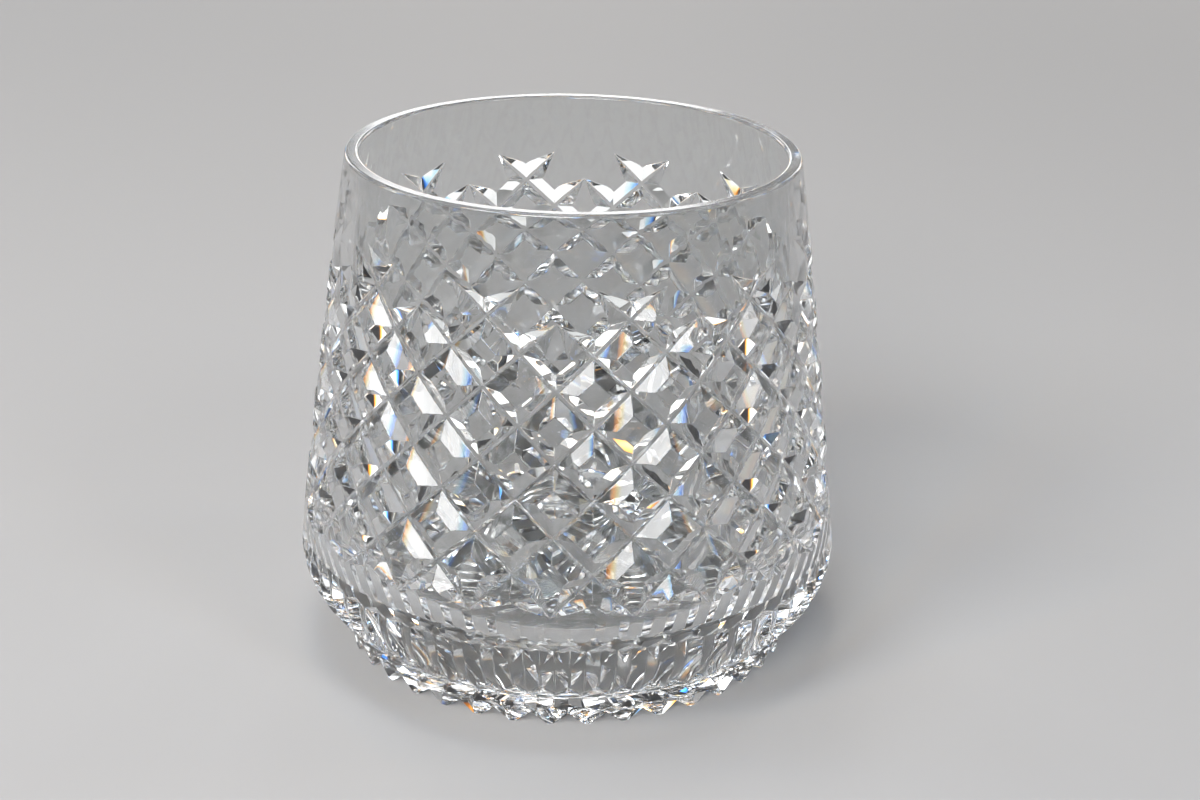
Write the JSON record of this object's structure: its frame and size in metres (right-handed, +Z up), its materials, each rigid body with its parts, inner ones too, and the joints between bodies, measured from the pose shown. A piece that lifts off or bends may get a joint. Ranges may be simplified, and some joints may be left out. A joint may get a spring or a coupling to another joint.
{
  "type": "rocks glass",
  "caption": "Low cut-crystal tumbler for short drinks, with a diamond-cut wall, a fluted rounded heel and a star-cut foot.",
  "frame": {"origin": "centre of the foot, on the surface that the glass stands on", "axes": "+Z up along the axis that the glass was turned on, and -Y towards the side that the picture shows"},
  "size_m": [0.095, 0.095, 0.087],
  "materials": {
    "crystal": "polished clear lead crystal"
  },
  "bodies": {
    "root": {"tumbler": "crystal"}
  },
  "joints": []
}
